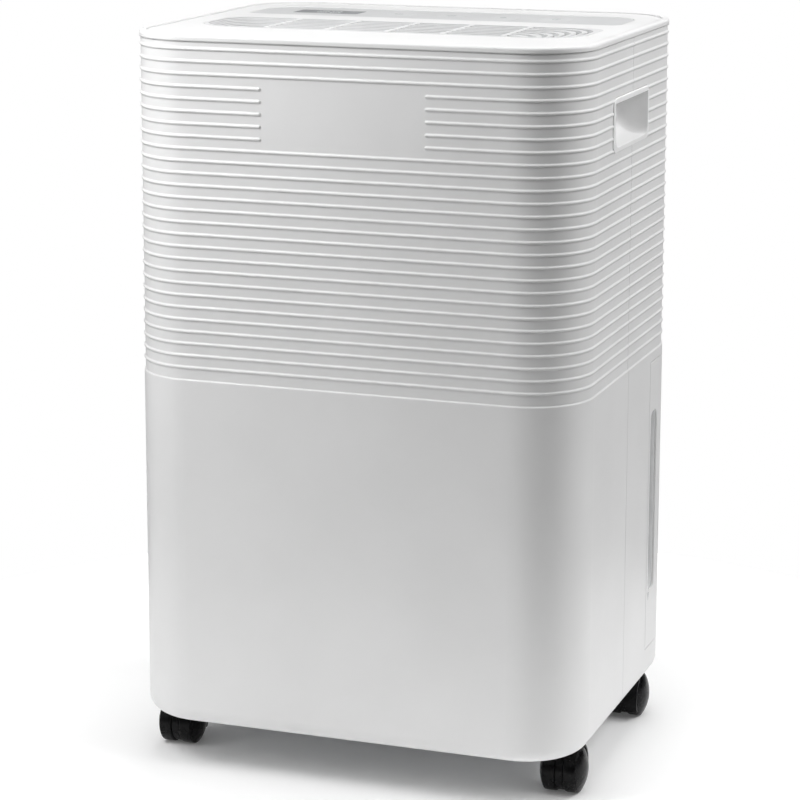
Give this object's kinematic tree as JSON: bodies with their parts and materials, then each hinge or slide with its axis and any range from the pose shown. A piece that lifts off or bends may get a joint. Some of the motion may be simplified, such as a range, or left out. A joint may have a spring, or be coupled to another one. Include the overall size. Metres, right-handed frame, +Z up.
{
  "type": "dehumidifier",
  "caption": "Portable compressor dehumidifier: ribbed upright housing, top outlet louvre, rear intake, pull-out water tank, side handle cups and swivel casters.",
  "frame": {"origin": "on the floor under the middle of the housing", "axes": "+X to the user's right when facing the front, +Y to the rear, +Z up"},
  "size_m": [0.3868, 0.32, 0.616],
  "materials": {
    "white_shell": "fine-textured white ABS",
    "white_trim": "smooth white ABS",
    "fascia": "glossy light grey strip",
    "display": "tinted window",
    "smoke_window": "smoky grey translucent plastic",
    "tank_clear": "translucent polypropylene",
    "float": "white foam-filled float",
    "filter": "grey filter frame and mesh",
    "circuit_board": "green solder mask",
    "black_plastic": "black moulded plastic",
    "caster_black": "black polished nylon",
    "grey_plastic": "grey structural plastic",
    "zinc_sheet": "zinc-coated sheet",
    "compressor_black": "black stoved paint",
    "motor_steel": "plain steel can",
    "rubber": "black rubber",
    "steel": "plated steel",
    "coil_aluminium": "plain aluminium",
    "copper": "copper tube"
  },
  "bodies": {
    "housing": {"front_shell": "white_shell", "rear_shell": "white_shell", "kick_panel": "white_shell", "top_cover": "white_shell", "outlet_grille": "white_shell", "control_fascia": "fascia", "display_window": "display", "control_board": "circuit_board", "handle_left": "white_trim", "handle_right": "white_trim", "float_switch": "black_plastic", "base_pan": "grey_plastic", "chassis": "grey_plastic", "drip_tray": "grey_plastic", "compressor": "compressor_black", "compressor_grommets": "rubber", "compressor_bolts": "steel", "evaporator": "coil_aluminium", "condenser": "coil_aluminium", "refrigerant_pipes": "copper", "fan_scroll": "grey_plastic", "fan_motor": "motor_steel", "power_board": "grey_plastic", "run_capacitor": "coil_aluminium", "humidity_sensor": "circuit_board", "drain_spigot": "white_trim", "cord_gland": "black_plastic", "housing_screws": "steel", "caster_sockets": "black_plastic"},
    "tank": {"tank_cover": "white_shell", "level_windows": "smoke_window", "tank_bucket": "tank_clear", "tank_lid": "tank_clear"},
    "bail": {"tank_handle": "white_trim"},
    "float": {"float_arm": "float"},
    "intake_panel": {"intake_grille": "white_trim", "air_filter": "filter"},
    "fan": {"fan_wheel": "black_plastic", "fan_shaft": "steel"},
    "drain_stopper": {"drain_plug": "rubber"},
    "key_power": {"key_power": "fascia"},
    "key_mode": {"key_mode": "fascia"},
    "key_humidity": {"key_humidity": "fascia"},
    "key_timer": {"key_timer": "fascia"},
    "caster_front_left": {"caster_fork_front_left": "caster_black", "caster_axle_front_left": "steel"},
    "wheel_a_front_left": {"caster_wheel_a_front_left": "caster_black"},
    "wheel_b_front_left": {"caster_wheel_b_front_left": "caster_black"},
    "caster_rear_left": {"caster_fork_rear_left": "caster_black", "caster_axle_rear_left": "steel"},
    "wheel_a_rear_left": {"caster_wheel_a_rear_left": "caster_black"},
    "wheel_b_rear_left": {"caster_wheel_b_rear_left": "caster_black"},
    "caster_front_right": {"caster_fork_front_right": "caster_black", "caster_axle_front_right": "steel"},
    "wheel_a_front_right": {"caster_wheel_a_front_right": "caster_black"},
    "wheel_b_front_right": {"caster_wheel_b_front_right": "caster_black"},
    "caster_rear_right": {"caster_fork_rear_right": "caster_black", "caster_axle_rear_right": "steel"},
    "wheel_a_rear_right": {"caster_wheel_a_rear_right": "caster_black"},
    "wheel_b_rear_right": {"caster_wheel_b_rear_right": "caster_black"}
  },
  "joints": [
    {"name": "tank_pull", "type": "slide", "parent": "housing", "child": "tank", "axis": [0, 1, 0], "range_m": [0, 0.2]},
    {"name": "bail_swing", "type": "hinge", "parent": "tank", "child": "bail", "pos_m": [0, 0.108, 0.256], "axis": [-1, 0, 0], "range_deg": [0, 60]},
    {"name": "float_lift", "type": "hinge", "parent": "tank", "child": "float", "pos_m": [-0.12, 0.08, 0.236], "axis": [1, 0, 0], "range_deg": [0, 40]},
    {"name": "intake_pull", "type": "slide", "parent": "housing", "child": "intake_panel", "axis": [0, 1, 0], "range_m": [0, 0.06]},
    {"name": "fan_spin", "type": "hinge", "parent": "housing", "child": "fan", "pos_m": [0, -0.032, 0.45], "axis": [0, 1, 0], "continuous": true},
    {"name": "drain_plug_pull", "type": "slide", "parent": "housing", "child": "drain_stopper", "axis": [0, 1, 0], "range_m": [0, 0.03]},
    {"name": "key_power_press", "type": "slide", "parent": "housing", "child": "key_power", "axis": [0, 0, -1], "range_m": [0, 0.0008], "stiffness_N_per_m": 800, "springref_m": -0.0003},
    {"name": "key_mode_press", "type": "slide", "parent": "housing", "child": "key_mode", "axis": [0, 0, -1], "range_m": [0, 0.0008], "stiffness_N_per_m": 800, "springref_m": -0.0003},
    {"name": "key_humidity_press", "type": "slide", "parent": "housing", "child": "key_humidity", "axis": [0, 0, -1], "range_m": [0, 0.0008], "stiffness_N_per_m": 800, "springref_m": -0.0003},
    {"name": "key_timer_press", "type": "slide", "parent": "housing", "child": "key_timer", "axis": [0, 0, -1], "range_m": [0, 0.0008], "stiffness_N_per_m": 800, "springref_m": -0.0003},
    {"name": "swivel_front_left", "type": "hinge", "parent": "housing", "child": "caster_front_left", "pos_m": [-0.171, -0.088, 0.05], "axis": [0, 0, 1], "continuous": true},
    {"name": "roll_a_front_left", "type": "hinge", "parent": "caster_front_left", "child": "wheel_a_front_left", "pos_m": [-0.171, -0.099, 0.019], "axis": [1, 0, 0], "continuous": true},
    {"name": "roll_b_front_left", "type": "hinge", "parent": "caster_front_left", "child": "wheel_b_front_left", "pos_m": [-0.171, -0.099, 0.019], "axis": [1, 0, 0], "continuous": true},
    {"name": "swivel_rear_left", "type": "hinge", "parent": "housing", "child": "caster_rear_left", "pos_m": [-0.171, 0.088, 0.05], "axis": [0, 0, 1], "continuous": true},
    {"name": "roll_a_rear_left", "type": "hinge", "parent": "caster_rear_left", "child": "wheel_a_rear_left", "pos_m": [-0.171, 0.099, 0.019], "axis": [1, 0, 0], "continuous": true},
    {"name": "roll_b_rear_left", "type": "hinge", "parent": "caster_rear_left", "child": "wheel_b_rear_left", "pos_m": [-0.171, 0.099, 0.019], "axis": [1, 0, 0], "continuous": true},
    {"name": "swivel_front_right", "type": "hinge", "parent": "housing", "child": "caster_front_right", "pos_m": [0.171, -0.088, 0.05], "axis": [0, 0, 1], "continuous": true},
    {"name": "roll_a_front_right", "type": "hinge", "parent": "caster_front_right", "child": "wheel_a_front_right", "pos_m": [0.171, -0.099, 0.019], "axis": [1, 0, 0], "continuous": true},
    {"name": "roll_b_front_right", "type": "hinge", "parent": "caster_front_right", "child": "wheel_b_front_right", "pos_m": [0.171, -0.099, 0.019], "axis": [1, 0, 0], "continuous": true},
    {"name": "swivel_rear_right", "type": "hinge", "parent": "housing", "child": "caster_rear_right", "pos_m": [0.171, 0.088, 0.05], "axis": [0, 0, 1], "continuous": true},
    {"name": "roll_a_rear_right", "type": "hinge", "parent": "caster_rear_right", "child": "wheel_a_rear_right", "pos_m": [0.171, 0.099, 0.019], "axis": [1, 0, 0], "continuous": true},
    {"name": "roll_b_rear_right", "type": "hinge", "parent": "caster_rear_right", "child": "wheel_b_rear_right", "pos_m": [0.171, 0.099, 0.019], "axis": [1, 0, 0], "continuous": true}
  ]
}
